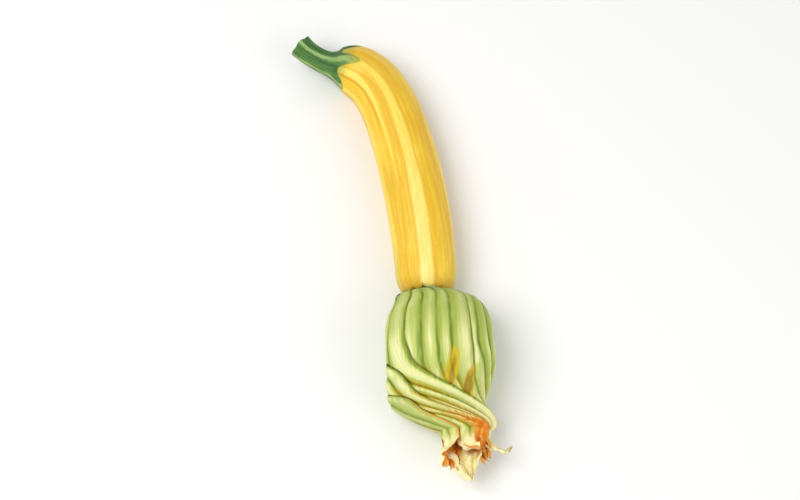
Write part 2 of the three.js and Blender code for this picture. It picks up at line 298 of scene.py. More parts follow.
def notched(angle):
    """0 round the flower end's scar, up to about 1 in its notches."""
    degrees = np.degrees(angle) % 360
    return sum(depth * bell((degrees - at + 180) % 360 - 180, 0, width) for at, width, depth in NOTCHES)


def away_from(degrees, t, angle):
    """Distance round the skin from the line at the given angle, in mm."""
    apart = (angle - math.radians(degrees) + math.pi) % FULL_TURN - math.pi
    return np.abs(apart) * body_radius(t)


def fruit():
    ROWS, ROUND, FACE_ROWS = 320, 180, 12
    LUMP_SIZE, LUMP_HEIGHT = 22, 0.35
    DENT_SIZE, DENT_DEPTH = 7, 0.12
    NOTCH_DEPTH, NOTCH_LENGTH = 0.4, 0.025
    SMOOTH_END = 0.06  # share of the length at each end over which the skin evens out
    DISH_DEPTH, DISH_MIDDLE = 0.6, 0.03
    STRIPE_ANGLE, SECOND_STRIPE_ANGLE, WEDGE_ANGLE = 90, 122, 107
    t = np.linspace(0, 1, ROWS)[:, None]
    angle = np.linspace(0, FULL_TURN, ROUND, endpoint=False)[None]
    t, angle = np.broadcast_arrays(t, angle)
    straight = np.stack([t * FRUIT_LENGTH, BELLY_RADIUS * np.cos(angle), BELLY_RADIUS * np.sin(angle)], -1)
    away_from_ends = smooth(t, 0, SMOOTH_END) * smooth(1 - t, 0, SMOOTH_END)
    unevenness = LUMP_HEIGHT * lumps(straight * [0.5, 1, 1], LUMP_SIZE, 2, 3.1) * away_from_ends
    unevenness += DENT_DEPTH * lumps(straight * [0.4, 1, 1], DENT_SIZE, 2, 9.7) * away_from_ends
    notch = notched(angle)
    points = fruit_skin(t, angle, unevenness - NOTCH_DEPTH * notch * smooth(t, 1 - NOTCH_LENGTH, 1))
    # Both end faces dish in slightly towards their middles.
    faces = []
    for row, outward in ((0, -1), (-1, 1)):
        middle, _, forward = fruit_spine(t[row, :1])
        share = np.linspace(1, DISH_MIDDLE, FACE_ROWS + 1)[1:, None, None]
        dish = forward * outward * -DISH_DEPTH * (1 - share**2)
        faces.append(middle + (points[row] - middle) * share + dish)
    loops = np.concatenate([faces[0][::-1], points, faces[1]])
    repeats = [FACE_ROWS + 1] + [1] * (ROWS - 2) + [FACE_ROWS + 1]
    t, angle, straight, notch = (np.repeat(a, repeats, 0) for a in (t, angle, straight, notch))
    values = {
        "rib": 0.5 + 0.5 * np.cos(FIVE * (angle - QUARTER_TURN)),
        "off_stripe": away_from(STRIPE_ANGLE, t, angle),
        "off_second": away_from(SECOND_STRIPE_ANGLE, t, angle),
        "off_wedge": away_from(WEDGE_ANGLE, t, angle),
        "from_stalk": t * FRUIT_LENGTH,
        "from_flower": (1 - t) * FRUIT_LENGTH,
        "notch": notch,
        "straight": straight,
    }
    return skin_mesh("zucchini_fruit", loops + TO_PART, values)


# ---- Stalk ----

STALK_START_HEIGHT = float(body_radius(0)) - REST_DEPTH
FRUIT_START_HEADING = math.radians(float(fruit_heading(0.0)))
STALK_HEADING = FRUIT_START_HEADING + math.pi


def stalk_height(t):
    return STALK_START_HEIGHT + STALK_RISE * t**2


stalk_spine = spine(STALK_LENGTH, lambda t: STALK_TURN * t, stalk_height)
back = STALK_HEADING - math.pi
STALK_PLACE = -JOINT_GAP * np.array([math.cos(back), math.sin(back), 0])


def stalk():
    ROWS, ROUND, FACE_ROWS, LOBE_ROWS = 120, 120, 14, 24
    LOBE_LENGTH, LOBE_THICKNESS, LOBE_SHARPNESS = 12.0, 0.9, 1.7
    LEAST_REACH, LEAST_THICKNESS, SUNK = 1.0, 0.12, 0.25
    REACH_UNEVENNESS, THICKENED_LENGTH = 0.16, 2
    WRINKLE_HEIGHT, WRINKLE_SIZE = 0.14, 2.2
    CUT_HOLLOW, CUT_HEIGHT = 0.5, 0.12
    CUT_MIDDLE, CUT_RIM = 0.03, 0.985
    BASE_ROWS, BASE_GAP, BASE_RIM, BASE_MIDDLE = 5, 0.12, 0.9, 0.03
    NOT_CUT = 2.0  # stands for every place that isn't on the cut face
    GROOVE_ROUNDNESS = 0.55
    t = np.linspace(1, 0, ROWS)[:, None]
    # The fruit's ribs and the stalk's run on from each other, and angles run the other way round here.
    angle = np.linspace(0, -FULL_TURN, ROUND, endpoint=False)[None]
    t, angle = np.broadcast_arrays(t, angle)
    from_top = angle - QUARTER_TURN
    ridge = (0.5 + 0.5 * np.cos(FIVE * from_top)) ** GROOVE_ROUNDNESS
    # At its foot the stalk is as wide as the fruit's end, and ribbed like it.
    foot = np.exp(-t * STALK_LENGTH / STALK_FOOT_LENGTH)
    foot_radius = float(body_radius(0)) * END_SHARE
    radius = STALK_RADIUS + (foot_radius - STALK_RADIUS) * foot + STALK_CUT_FLARE * t**3
    ribbing = lerp(STALK_RIB_HEIGHT * (2 * ridge - 1.1), RIB_HEIGHT_AT_STALK * ribs(angle), foot)
    straight = np.stack([t * STALK_LENGTH, STALK_RADIUS * np.cos(angle), STALK_RADIUS * np.sin(angle)], -1)
    wrinkles = WRINKLE_HEIGHT * lumps(straight * [0.35, 1.4, 1.4], WRINKLE_SIZE, 2, 5.3)
    crest = 0.5 + 0.5 * np.cos(FIVE * from_top)
    thickness = LEAST_THICKNESS + LOBE_THICKNESS * crest
    thickened = thickness * np.exp(-t * STALK_LENGTH / THICKENED_LENGTH)
    radius = radius * (1 + ribbing) + wrinkles + thickened
    points = round_spine(stalk_spine, t, radius, angle)
    # The cut face, a little hollow in the middle.
    middle, _, forward = stalk_spine(t[0, :1])
    cut_share = np.linspace(CUT_MIDDLE, CUT_RIM, FACE_ROWS)[:, None, None]
    hollow = CUT_HEIGHT - CUT_HOLLOW * (1 - cut_share**2)
    cut = middle + (points[0] - middle) * cut_share + forward * hollow
    body = placed(np.concatenate([cut, points]), STALK_HEADING, STALK_PLACE)
    # The ridges run out over the fruit's shoulder as tapering lobes, and come back underneath.
    reach = LOBE_LENGTH * crest[0] ** LOBE_SHARPNESS + LEAST_REACH
    reach = reach * (1 + REACH_UNEVENNESS * np.sin(3 * from_top[0] + 0.7))
    along = np.linspace(0, 1, LOBE_ROWS)[1:, None]
    mirrored = math.pi - angle[0]
    over = along * reach / FRUIT_LENGTH
    lift = thickness[:1] * (1 - along**1.5) - SUNK * along
    lobe_top = fruit_skin(*np.broadcast_arrays(over, mirrored[None]), lift)
    lobe_under = fruit_skin(*np.broadcast_arrays(over[::-1], mirrored[None]), -2 * SUNK)
    middle, _, forward = fruit_spine(np.zeros(1))
    base_share = np.linspace(BASE_RIM, BASE_MIDDLE, BASE_ROWS)[:, None, None]
    base = middle + (lobe_under[-1] - middle) * base_share - forward * BASE_GAP
    loops = np.concatenate([body, lobe_top, lobe_under, base])
    over_fruit = len(loops) - len(body)
    t_rows = np.concatenate([np.ones(FACE_ROWS), t[:, 0], np.zeros(over_fruit)])
    t_all = t_rows[:, None] * np.ones(ROUND)
    over_shares = [np.zeros(FACE_ROWS + ROWS), along[:, 0], along[::-1, 0], np.zeros(BASE_ROWS)]
    over_all = np.concatenate(over_shares)[:, None] * reach
    off_the_cut = np.full(ROWS + over_fruit, NOT_CUT)
    cut_all = np.concatenate([cut_share[:, 0, 0], off_the_cut])[:, None] * np.ones(ROUND)
    straight = [
        t_all * STALK_LENGTH - over_all,
        STALK_RADIUS * np.cos(angle[:1]) * np.ones_like(t_all),
        STALK_RADIUS * np.sin(angle[:1]) * np.ones_like(t_all),
    ]
    values = {
        "ridge": np.broadcast_to(ridge[:1], t_all.shape),
        "over_fruit": over_all,
        "cut": cut_all,
        "straight": np.stack(straight, -1),
    }
    return skin_mesh("zucchini_stalk", loops + TO_PART, values)


# ---- Flower ----

FRUIT_END, _, _ = fruit_spine(1.0)
FLOWER_HEADING = math.radians(float(fruit_heading(1.0)))
FLOWER_PLACE = FRUIT_END * [1, 1, 0] + TO_PART


def bag_shift(t):
    """How far the bag's middle lies to the side of the fruit's axis."""
    start = 1 - (1 - np.minimum(t / SHIFT_START, 1)) ** 2
    kept = 1 - BAG_SHIFT_BACK * smooth(t, *SHIFTS_BACK)
    return BAG_SHIFT * start * kept + THROAT_SHIFT * smooth(t, *SHIFTS_TO_THROAT)


def bag_height(t):
    rise = np.sin(QUARTER_TURN * np.minimum(t / RISE_END, 1))
    start = float(body_radius(1)) - REST_DEPTH
    risen = lerp(start, BAG_CENTRE_HEIGHT, rise)
    return risen + (THROAT_HEIGHT - BAG_CENTRE_HEIGHT) * smooth(t, *FALLS)


def bag_radius(t):
    near = (1 - np.clip(1 - t / BAG_WIDEST_AT, 0, 1) ** BASE_SQUARENESS) ** BASE_FULLNESS
    past_middle = np.clip((t - BAG_WIDEST_AT) / (1 - BAG_WIDEST_AT), 0, 1)
    far = (1 - past_middle**THROAT_SQUARENESS) ** THROAT_FULLNESS
    return np.where(
        t < BAG_WIDEST_AT,
        lerp(BAG_BASE_RADIUS, BAG_RADIUS, near),
        lerp(THROAT_RADIUS, BAG_RADIUS, far),
    )


def bag_points(t, angle, raised):
    """Points over the bag's plain skin, in the flower's own frame: +X leads away from the fruit."""
    flatness = lerp(1, THROAT_FLATNESS, smooth(t, *FLATTENS))
    radius = bag_radius(t)
    across = bag_shift(t) + (radius + raised) * np.cos(angle)
    up = bag_height(t) + (radius * flatness + raised) * np.sin(angle)
    along = JOINT_GAP + t * BAG_LENGTH + 0 * angle
    return np.stack([along, across, up], -1)


def room_under(t):
    """Room that the sepals take up between the bag's base and the surface, in mm."""
    return SEPAL_ROOM * (1 - smooth(t, *SEPAL_ROOM_ENDS))


# Each petal's free margin runs down the bag at these angles, in degrees from the side towards +Z. Going
# round from the first petal, each covers the margin-side of the one before. Near the throat they all sweep
# across the bag and draw it in, though an opening is left between the tips.
MARGIN_SHARES = (0, 0.3, 0.5, 0.65, 0.75, 0.82, 0.9, 1)
MARGINS = (
    through(MARGIN_SHARES, (269, 267, 258, 225, 175, 133, 126, 105)),
    through(MARGIN_SHARES, (341, 340, 335, 318, 290, 262, 235, 195)),
    through(MARGIN_SHARES, (413, 415, 414, 409, 400, 385, 345, 300)),
    through(MARGIN_SHARES, (485, 491, 488, 472, 443, 410, 372, 345)),
    through(MARGIN_SHARES, (557, 556, 546, 501, 484, 471, 444, 375)),
)
LEAST_WIDTH = through((0, 0.8, 1), (80, 82, 60))  # of a petal, in degrees
TUCK = 10  # degrees that a petal goes on for, under the next one
WIDTH_BLEND = 30  # in square degrees: how softly the open width gives way to the least one
PLEATS = (  # shares of each petal's width at which its folds lie
    (0, 0.3, 0.62, 1),
    (0, 0.24, 0.5, 0.72, 1),
    (0, 0.28, 0.44, 0.64, 1),
    (0, 0.42, 0.72, 1),
    (0, 0.3, 0.6, 1),
)


# Ochre patches on the bag, where pleats dent into deep fold valleys: painted shade over the petals' own
# mustard. Share of its length, degrees from the side, and their spreads.
OCHRE_SHADE_PATCHES = ((0.66, 76, 0.13, 7), (0.77, 53, 0.1, 8))
OCHRE_PETALS = (1, 2)
OCHRE_DEPTH = 0.9
MARGIN_LIFTS = (0.4, 0.6, 0.6, 1.0, 0.6)  # in mm, past the bag's middle
LATE_PLEATS = (0.6, 1.0, 1.0, 1.0, 1.0)  # share of its pleat height that a petal keeps near the throat
PALE_FLAPS = (0.1, 0.3, 0.3, 1.0, 0.45)  # how far each petal's free margin fades to cream
ORANGE_ENDS = (0.0, 0.0, 0.7, 0.0, 1.0)  # how far each petal's end is orange on its outside too


def margin_angle(k, t):
    """The angle of petal k's free margin, in degrees. Petal 5 is petal 0 again, a turn further."""
    turns, k = divmod(k, FIVE)
    return MARGINS[k](t) + 360 * turns


def petal_width(k, t):
    """Petal k's width in degrees, with what is hidden under the next petal."""
    open_width = margin_angle(k + 1, t) - margin_angle(k, t) + TUCK
    least = LEAST_WIDTH(t)
    return (open_width + least + np.sqrt((open_width - least) ** 2 + WIDTH_BLEND)) / 2


class Tip:
    """The end of a petal past the throat. Lengths are in mm and angles in degrees."""

    def __init__(self, length, bend, towards, twist, widths, roll, closing, fold, lift, pale):
        self.length = length
        self.bend, self.towards = bend, towards  # how far it bends from the axis, and which way round
        self.twist = twist  # about its own middle line
        self.width = through((0, 0.35, 0.7, 1), widths)  # shares of its width at the throat
        self.roll = roll  # how strongly it keeps the throat's curve: below 0 it opens backwards
        self.closing = closing  # how far it closes in over the throat's opening
        self.fold = fold  # depth of its lengthwise folds
        self.lift = lift  # how far the free margin stands off the bag before the throat
        self.pale = pale  # how far its inside fades from orange to cream


TIPS = (
    Tip(24, 12, 190, 66, (1, 1.15, 1.1, 0.75), 0.6, 3.2, 1.8, 1.0, -0.8),
    Tip(32, 20, 0, 10, (1, 1.0, 0.62, 0.06), 0.1, 8.5, 1.5, 1.0, 0.7),
    Tip(19, 38, 5, -40, (1, 1.15, 1.05, 0.6), 0.2, 3.5, 1.7, 1.0, -0.4),
    Tip(26, 140, -4, -20, (1, 0.8, 0.42, 0.05), 0.7, 1.0, 0.8, 3.0, 1.2),
    Tip(16, 105, 50, 0, (1, 1.05, 0.95, 0.5), 0.6, 4.3, 1.7, 1.6, -0.7),
)


def petal_tip(k, last_row, q, m):
    """Rows of points past the throat: last_row carried on along a bent, twisted middle line."""
    STEPS = 400
    BEND_POWER = 1.2  # the tip bends little by little
    FOLD_COUNT, RAGGEDNESS = 5.2, 0.34
    CRUMPLE_SIZE, FRILL_SIZE, FRILL_HEIGHT = 7.0, 2.6, 0.7
    tip = TIPS[k]
    forward = np.array([1.0, 0, 0])
    middle_angle = math.radians(float(margin_angle(k, 1.0) + petal_width(k, 1.0) / 2))
    outward = np.array([0, math.cos(middle_angle), math.sin(middle_angle)])
    tangent = np.cross(forward, outward)
    towards = math.radians(tip.towards)
    bend_axis = np.cross(forward, [0, math.cos(towards), math.sin(towards)])
    fine = np.linspace(0, 1, STEPS)
    heads = turned(forward, bend_axis, math.radians(tip.bend) * fine**BEND_POWER)
    path = np.vstack([np.zeros(3), np.cumsum((heads[:-1] + heads[1:]) / 2, 0) / (STEPS - 1)]) * tip.length
    rows = q[:, 0]
    bent = math.radians(tip.bend) * rows**BEND_POWER
    head = turned(forward, bend_axis, bent)
    normal = turned(turned(outward, bend_axis, bent), head, math.radians(tip.twist) * smooth(rows, 0, 0.7))
    lateral = np.cross(head, normal)
    centre = np.stack([np.interp(rows, fine, path[:, axis]) for axis in range(3)], -1)
    centre = centre - outward * tip.closing * smooth(q, 0, 0.5)
    start = last_row[last_row.shape[0] // 2]
    offset = last_row - start
    wide, deep = offset @ tangent, offset @ outward
    x = 2 * m - 1
    width = tip.width(q)
    wide = wide * width
    deep = deep * lerp(1, tip.roll, smooth(q, 0.1, 0.9)) * width
    folds = np.sin(math.pi * (FOLD_COUNT * m + 0.4 * k)) * smooth(q, 0.0, 0.5) * tip.fold
    ragged = (0.5 + 0.5 * lumps(np.stack([m * 9 + k, 0 * m, 0 * m], -1), 1.0, 3, 5.0)) * RAGGEDNESS
    back = tip.length * ragged * smooth(q, 0.3, 1) * (1 - 0.5 * x**2)
    points = start + centre[:, None] + lateral[:, None] * wide[..., None]
    points = points + normal[:, None] * (deep + folds)[..., None] - head[:, None] * back[..., None]
    crumple = smooth(q, 0.0, 0.5)[..., None]
    for axis, seed, strength in ((normal, 0.0, 2.2), (lateral, 20.0, 1.3), (head, 40.0, 1.0)):
        shift = strength * lumps(points, CRUMPLE_SIZE, 3, seed + 7 * k)
        points = points + axis[:, None] * shift[..., None] * crumple
    frill = FRILL_HEIGHT * lumps(points, FRILL_SIZE, 2, 60.0 + 7 * k) * smooth(np.abs(x), 0.5, 1)
    return points + normal[:, None] * frill[..., None] * crumple


def petal(k):
    BAG_ROWS, TIP_ROWS, ACROSS = 160, 80, 84
    ROW_CROWDING = 0.1
    THICKNESS, MARGIN_THICKNESS = 0.42, 0.16
    PLEAT_HEIGHT, MEANDER = 1.65, 0.02
    HIDDEN_DEPTHS = (1.1, 2.4)  # how far it dives under the next petal, near the base and further on
    LUMP_HEIGHT, LUMP_SIZE = 0.55, 9
    FINE_HEIGHT, FINE_SIZE = 0.24, 2.6
    OUTER_CLEARANCE, INNER_CLEARANCE = 0.3, 0.1  # above the surface that the part lies on
    tip = TIPS[k]
    u = np.linspace(0, 1, BAG_ROWS)[:, None]
    t = u - ROW_CROWDING * np.sin(FULL_TURN * u)
    q = np.linspace(0, 1, TIP_ROWS + 1)[1:, None]
    m = np.linspace(0, 1, ACROSS)[None]
    meander = MEANDER * np.sin(FULL_TURN * (1.2 * t + 0.37 * k)) * np.sin(math.pi * m)
    pleat = np.interp(m + meander, PLEATS[k], range(len(PLEATS[k])))
    ridge = (np.sin(math.pi * pleat) ** 2 + 0.012) ** 0.4
    skew = np.sin(FULL_TURN * pleat)
    width = petal_width(k, t)
    degrees = margin_angle(k, t) + m * width
    angle = np.radians(degrees)
    radius = bag_radius(t)
    past_next = np.radians(degrees - margin_angle(k + 1, t)) * radius  # mm past the next petal's margin
    hidden_depth = lerp(*HIDDEN_DEPTHS, smooth(t, 0.3, 0.7)) * smooth(past_next, -2.4, 0.8)
    pleat_height = PLEAT_HEIGHT * smooth(t, 0.02, 0.2) * lerp(1, 0.8, smooth(t, 0.75, 1))
    pleat_height = pleat_height * (1 - 0.8 * smooth(past_next, -1.0, 1.5))
    pleat_height = pleat_height * lerp(1, LATE_PLEATS[k], smooth(t, 0.5, 0.7))
    lift = lerp(0.35, MARGIN_LIFTS[k], smooth(t, 0.35, 0.6)) * bell(m, 0, 0.06)
    lift = lift + (tip.lift - 1) * smooth(t, 0.72, 0.93) * bell(m, 0, 0.2)
    straight = np.stack([t * BAG_LENGTH + 0 * m, radius * np.cos(angle), radius * np.sin(angle)], -1)
    broad = lumps(straight * [0.6, 1, 1], LUMP_SIZE, 2, 1.7 + 3 * k)
    fine = lumps(straight * [0.1, 1, 1], FINE_SIZE, 2, 8.3 + 3 * k)
    unevenness = LUMP_HEIGHT * broad * smooth(t, 0.1, 0.4)
    unevenness += FINE_HEIGHT * fine * smooth(t, 0.02, 0.2)
    shaded_ochre_patch = sum(
        bell(t, share, spread) * bell((degrees - at + 180) % 360 - 180, 0, breadth)
        for share, at, spread, breadth in OCHRE_SHADE_PATCHES
    ) * (k in OCHRE_PETALS)
    raised = pleat_height * (ridge - 0.6) + lift + unevenness - OCHRE_DEPTH * shaded_ochre_patch - hidden_depth
    bag = bag_points(t, angle, raised)
    bag[..., 2] = np.maximum(bag[..., 2], 0.05 + room_under(t) + hidden_depth)
    outer = np.concatenate([bag, petal_tip(k, bag[-1], q, m)])
    outer[..., 2] = np.maximum(outer[..., 2], OUTER_CLEARANCE)

    from_margin = np.minimum(m, 1 - m)
    thickness = lerp(MARGIN_THICKNESS, THICKNESS, smooth(from_margin, 0, 0.04))[..., None]
    _, inner = sheet_loops(outer, thickness)
    inner[..., 2] = np.maximum(inner[..., 2], INNER_CLEARANCE)
    loops = np.concatenate([outer, inner[:, ::-1]], 1)
    zero = np.zeros(outer.shape[:2])
    along = np.concatenate([t, 1 + q * tip.length / BAG_LENGTH]) + zero

    def on_tip(bag_values):
        return np.concatenate([bag_values, np.repeat(bag_values[-1:], TIP_ROWS, 0)])

    last_straight = straight[-1:] + np.stack([q * tip.length + 0 * m, 0 * q * m, 0 * q * m], -1)
    covered = np.concatenate([past_next, np.full((TIP_ROWS, ACROSS), -20.0)])
    values = {
        "ridge": both_faces(on_tip(ridge)),
        "skew": both_faces(on_tip(skew)),
        "shaded_ochre_patch": both_faces(on_tip(shaded_ochre_patch)),
        "flap": both_faces(PALE_FLAPS[k] + zero),
        "orange_end": both_faces(ORANGE_ENDS[k] + zero),
        "along": both_faces(along),
        "across": both_faces(m + zero),
        "tip": both_faces(np.concatenate([0 * t, q]) + zero),
        "covered": both_faces(covered),
        "pale": both_faces(tip.pale + zero),
        "inner": both_faces(zero, zero + 1),
        "straight": both_faces(np.concatenate([straight, last_straight])),
    }
    return skin_mesh(f"zucchini_petal_{k + 1}", placed(loops, FLOWER_HEADING, FLOWER_PLACE), values)


def sepal(k):
    ROWS, ACROSS = 40, 14
    THICKNESS, CLEARANCE, KEEL_HEIGHT = 0.55, 0.55, 0.3
    LEAST_HALF_WIDTH, ABOVE_SURFACE = 0.12, 0.1
    middle = math.radians(360 / FIVE * (k + 0.5) - 90)
    share = np.linspace(0, 1, ROWS)[:, None]
    t = (SEPAL_START + share**1.5 * SEPAL_REACH) / BAG_LENGTH
    half = SEPAL_WIDTH / 2 * (1 - share**1.6) ** 0.8 + LEAST_HALF_WIDTH
    x = np.linspace(-1, 1, ACROSS)[None]
    bag = bag_points(t, middle + x * half / bag_radius(t), 0.0)
    keel = KEEL_HEIGHT * (1 - x**2) * (1 - share)
    points = bag + grid_normals(bag) * (CLEARANCE + keel)[..., None]
    points[..., 2] = np.maximum(points[..., 2], ABOVE_SURFACE)
    thickness = (THICKNESS * (1 - 0.5 * share) * (1 - 0.6 * x**2))[..., None]
    loops, _ = sheet_loops(points, thickness)
    zero = np.zeros((ROWS, ACROSS))
    values = {
        "along": both_faces(share + zero),
        "across": both_faces(x + zero),
        "straight": loops - loops[:1].mean(1, keepdims=True),
    }
    return skin_mesh(f"zucchini_sepal_{k + 1}", placed(loops, FLOWER_HEADING, FLOWER_PLACE), values)


def pistil():
    ROWS, ROUND = 110, 90
    LOBE_DEPTH, CLEFT_DEPTH, GRAIN_HEIGHT, GRAIN_SIZE = 0.26, 0.09, 0.18, 1.2
    share = np.linspace(0, 1, ROWS)[:, None]
    angle = np.linspace(0, FULL_TURN, ROUND, endpoint=False)[None]
    nectary = NECTARY_RADIUS * smooth(-share, -0.2, -0.1)
    style = STYLE_RADIUS * smooth(-share, -0.7, -0.5)
    rounded_off = np.sqrt(1 - smooth(share, 0.8, 1.04) ** 2)
    stigma = STIGMA_RADIUS * smooth(share, 0.45, 0.66) * rounded_off
    radius = np.maximum(np.maximum(nectary, style), stigma)
    lobed = smooth(share, 0.45, 0.7)
    lobes = 1 + LOBE_DEPTH * lobed * (np.abs(np.cos(STIGMA_LOBES / 2 * angle)) - 0.6)
    cleft = CLEFT_DEPTH * lobed * np.cos(2 * STIGMA_LOBES * angle)
    radius = radius * (lobes + cleft)
    height = bag_height(share * PISTIL_LENGTH / BAG_LENGTH)
    along = JOINT_GAP + share * PISTIL_LENGTH + 0 * angle
    points = np.stack([along, radius * np.cos(angle), height + radius * np.sin(angle)], -1)
    grain = GRAIN_HEIGHT * lumps(points, GRAIN_SIZE, 2, 2.2)
    points += grid_normals(points) * grain[..., None] * lobed[..., None]
    values = {"along": share + 0 * angle, "straight": points.copy()}
    return skin_mesh("zucchini_pistil", placed(points, FLOWER_HEADING, FLOWER_PLACE), values)


# ---- Materials ----


def colour(red, green, blue):
    """Linear RGBA of an sRGB colour given from 0 to 255."""

    def linear(value):
        share = value / 255
        return share / 12.92 if share <= 0.04045 else ((share + 0.055) / 1.055) ** 2.4

    return (linear(red), linear(green), linear(blue), 1.0)


class Shader:
    """One material's nodes, made by short calls. Each call returns the socket that holds its result."""

    def __init__(self, name):
        self.material = bpy.data.materials.new(name)
        self.material.use_nodes = True
        self.nodes = self.material.node_tree.nodes
        self.links = self.material.node_tree.links
        self.surface = self.nodes["Principled BSDF"]

    def fill(self, socket, value):
        if isinstance(value, bpy.types.NodeSocket):
            self.links.new(value, socket)
        else:
            socket.default_value = value

    def set(self, **inputs):
        for key, value in inputs.items():
            self.fill(self.surface.inputs[key.replace("_", " ")], value)

    def value(self, name):
        node = self.nodes.new("ShaderNodeAttribute")
        node.attribute_name = name
        return node.outputs["Fac"]

    def vector(self, name, stretch=(1, 1, 1)):
        node = self.nodes.new("ShaderNodeAttribute")
        node.attribute_name = name
        scaled = self.nodes.new("ShaderNodeVectorMath")
        scaled.operation = "MULTIPLY"
        self.links.new(node.outputs["Vector"], scaled.inputs[0])
        scaled.inputs[1].default_value = stretch
        return scaled.outputs[0]

    def math(self, operation, a, b=0.0):
        node = self.nodes.new("ShaderNodeMath")
        node.operation = operation
        self.fill(node.inputs[0], a)
        self.fill(node.inputs[1], b)
        return node.outputs[0]

    def add(self, a, b):
        return self.math("ADD", a, b)

    def times(self, a, b):
        return self.math("MULTIPLY", a, b)

    def step(self, value, low, high):
        """0 where value is under low, 1 over high, smooth between. The two may be the other way round."""
        node = self.nodes.new("ShaderNodeMapRange")
        node.interpolation_type = "SMOOTHSTEP"
        flipped = high < low
        self.fill(node.inputs["Value"], value)
        node.inputs["From Min"].default_value = min(low, high)
        node.inputs["From Max"].default_value = max(low, high)
        node.inputs["To Min"].default_value = float(flipped)
        node.inputs["To Max"].default_value = float(not flipped)
        return node.outputs[0]

    def noise(self, vector, size, detail=2.0):
        """Noise from 0 to 1 with features of the given size, in the vector's unit."""
        node = self.nodes.new("ShaderNodeTexNoise")
        self.links.new(vector, node.inputs["Vector"])
        node.inputs["Scale"].default_value = 1 / size
        node.inputs["Detail"].default_value = detail
        return node.outputs["Fac"]

    def centred_noise(self, name, stretch, size, detail):
        """Noise from -0.5 to 0.5 over the named vector, longer where the stretch is smaller."""
        return self.add(self.noise(self.vector(name, stretch), size, detail), -0.5)

    def cells(self, vector, size):
        """Distance to the nearest of many scattered points, about a size apart."""
        node = self.nodes.new("ShaderNodeTexVoronoi")
        self.links.new(vector, node.inputs["Vector"])
        node.inputs["Scale"].default_value = 1 / size
        return node.outputs["Distance"]

    def mix(self, share, a, b):
        node = self.nodes.new("ShaderNodeMix")
        node.data_type = "RGBA"
        self.fill(node.inputs[0], share)
        self.fill(node.inputs[6], a)
        self.fill(node.inputs[7], b)
        return node.outputs[2]

    def bump(self, height, depth, under=None):
        """Bump depth mm deep, over another bump if one is given."""
        node = self.nodes.new("ShaderNodeBump")
        node.inputs["Distance"].default_value = depth * MM
        self.fill(node.inputs["Height"], height)
        if under is not None:
            self.links.new(under, node.inputs["Normal"])
        return node.outputs["Normal"]


